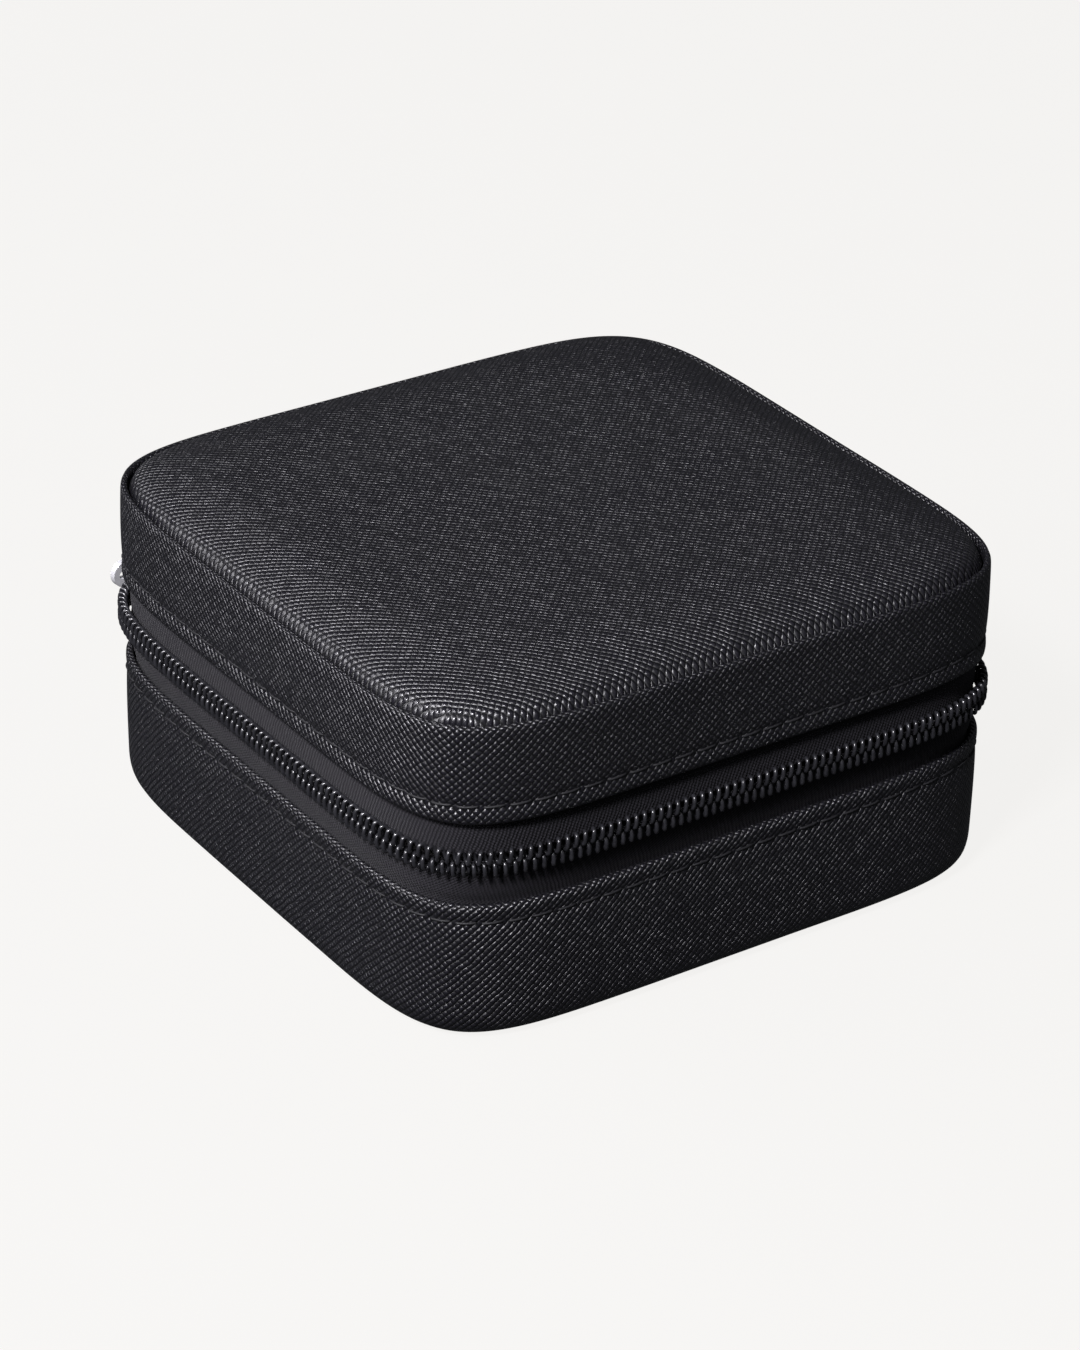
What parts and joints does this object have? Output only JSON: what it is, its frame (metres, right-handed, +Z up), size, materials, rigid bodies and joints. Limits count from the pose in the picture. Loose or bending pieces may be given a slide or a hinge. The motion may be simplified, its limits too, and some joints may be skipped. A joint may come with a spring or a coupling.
{
  "type": "jewellery case",
  "caption": "Rounded square zip-round jewellery case in cross-grained leather, with a padded hinged lid, ring rolls and divided compartments inside.",
  "frame": {"origin": "middle of the underside", "axes": "+Z up, -Y towards the front, the hinge spine on the +Y side, +X towards the case's right seen from the front"},
  "size_m": [0.1018, 0.1046, 0.0523],
  "materials": {
    "leather": "black cross-grained PU leather, satin",
    "zip_tape": "woven polyester tape",
    "nylon": "black nylon coil, satin",
    "velvet": "black short-pile velvet",
    "board": "grey pressed board",
    "foam": "soft foam",
    "satin": "ruched satin",
    "chrome": "polished, nickel tone"
  },
  "bodies": {
    "base": {"base_side_cover": "leather", "base_bottom_cover": "leather", "base_side_padding": "foam", "base_board_wall": "board", "base_bottom_board": "board", "base_lining_wall": "velvet", "base_lining_floor": "velvet", "base_partition": "velvet", "ring_roll_1": "velvet", "ring_roll_2": "velvet", "ring_roll_3": "velvet", "ring_roll_4": "velvet", "ring_roll_5": "velvet", "ring_roll_6": "velvet", "ring_roll_7": "velvet", "divider_channel_1": "velvet", "divider_channel_2": "velvet", "divider_channel_3": "velvet", "divider_channel_4": "velvet", "zip_tape_lower": "zip_tape", "zip_coil_lower": "nylon", "zip_stop_lower": "chrome", "spine_lower": "leather"},
    "lid": {"lid_side_cover": "leather", "lid_top_cover": "leather", "lid_foam_pad": "foam", "lid_top_board": "board", "lid_board_wall": "board", "lid_side_padding": "foam", "lid_lining_wall": "velvet", "lid_lining_panel": "velvet", "lid_pocket": "satin", "lid_pocket_elastic": "satin", "necklace_strap_1": "leather", "necklace_strap_2": "leather", "necklace_strap_3": "leather", "strap_snap_cap_1": "chrome", "strap_snap_cap_2": "chrome", "strap_snap_cap_3": "chrome", "strap_snap_socket_1": "chrome", "strap_snap_socket_2": "chrome", "strap_snap_socket_3": "chrome", "zip_tape_upper": "zip_tape", "zip_coil_upper": "nylon", "zip_stop_upper": "chrome", "spine_upper": "leather"},
    "slider": {"zip_slider": "chrome"},
    "pull": {"zip_pull": "chrome"},
    "divider_front": {"divider_1": "velvet"},
    "divider_back": {"divider_2": "velvet"}
  },
  "joints": [
    {"name": "lid_hinge", "type": "hinge", "parent": "base", "child": "lid", "pos_m": [0, 0.0494, 0.0285], "axis": [-1, 0, 0], "range_deg": [0, 110], "deforming": ["zip_tape_upper", "zip_coil_upper"]},
    {"name": "zip_travel", "type": "slide", "parent": "base", "child": "slider", "axis": [-0.9995, -0.0314, 0], "range_m": [0, 0.006]},
    {"name": "pull_swing", "type": "hinge", "parent": "slider", "child": "pull", "pos_m": [-0.0231, 0.05256, 0.0288], "axis": [0, 0, 1], "range_deg": [-165, 0]},
    {"name": "divider_front_lift", "type": "slide", "parent": "base", "child": "divider_front", "axis": [0, 0, 1], "range_m": [0, 0.014]},
    {"name": "divider_back_lift", "type": "slide", "parent": "base", "child": "divider_back", "axis": [0, 0, 1], "range_m": [0, 0.014]}
  ]
}
